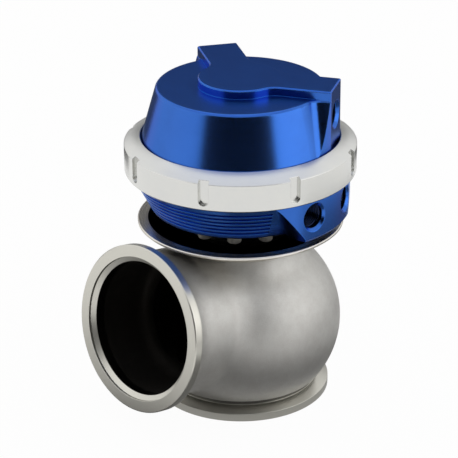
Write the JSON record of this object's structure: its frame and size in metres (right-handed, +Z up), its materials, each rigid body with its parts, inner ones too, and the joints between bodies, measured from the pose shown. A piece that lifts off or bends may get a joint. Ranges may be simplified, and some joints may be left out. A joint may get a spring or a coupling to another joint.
{
  "type": "turbo wastegate",
  "caption": "Pneumatic wastegate: cast valve housing with V-band inlet and outlet, finned blue actuator, locking collar and domed cap over a spring-loaded poppet valve.",
  "frame": {"origin": "centre of the inlet flange's face", "axes": "+Z up the valve stem, the outlet leaves along -Y and rises 9.3 degrees, +X towards the pressure ports"},
  "size_m": [0.09, 0.1055, 0.131],
  "materials": {
    "cast_stainless": "investment-cast stainless, fine blasted grain, machined faces",
    "seat_steel": "turned stainless",
    "valve_steel": "ground heat-resisting steel",
    "bronze": "turned bronze",
    "graphite": "graphite gasket sheet",
    "turned_steel": "turned stainless, satin rim",
    "spacer_steel": "turned stainless",
    "plate_alloy": "black anodised",
    "screw_steel": "stainless screws",
    "blue_anodised": "blue anodised, satin",
    "seal_rubber": "moulded seal",
    "spring_steel": "oiled spring steel",
    "bare_alloy": "bare turned aluminium",
    "diaphragm_rubber": "fabric-reinforced rubber",
    "clear_anodised": "clear anodised, polished"
  },
  "bodies": {
    "housing": {"valve_housing": "cast_stainless", "valve_seat": "seat_steel", "valve_guide": "bronze", "base_gasket": "graphite", "heat_shield": "turned_steel", "thermal_spacer": "spacer_steel", "base_plate": "plate_alloy", "mounting_screws": "screw_steel", "base_plate_screws": "screw_steel", "lower_housing": "blue_anodised", "stem_bush": "bronze", "stem_seal": "seal_rubber", "seal_clip": "spring_steel", "diaphragm": "diaphragm_rubber", "outer_spring": "spring_steel", "middle_spring": "spring_steel", "inner_spring": "spring_steel", "top_cap": "blue_anodised", "locking_collar": "clear_anodised", "locating_dowel": "screw_steel"},
    "valve_stack": {"valve": "valve_steel", "diaphragm_washer": "bare_alloy", "piston": "bare_alloy", "stem_washer": "screw_steel", "stem_nut": "screw_steel"}
  },
  "joints": [
    {"name": "valve_lift", "type": "slide", "parent": "housing", "child": "valve_stack", "axis": [0, 0, 1], "range_m": [0, 0.012], "stiffness_N_per_m": 26000, "deforming": ["outer_spring", "middle_spring", "inner_spring", "diaphragm"]}
  ]
}
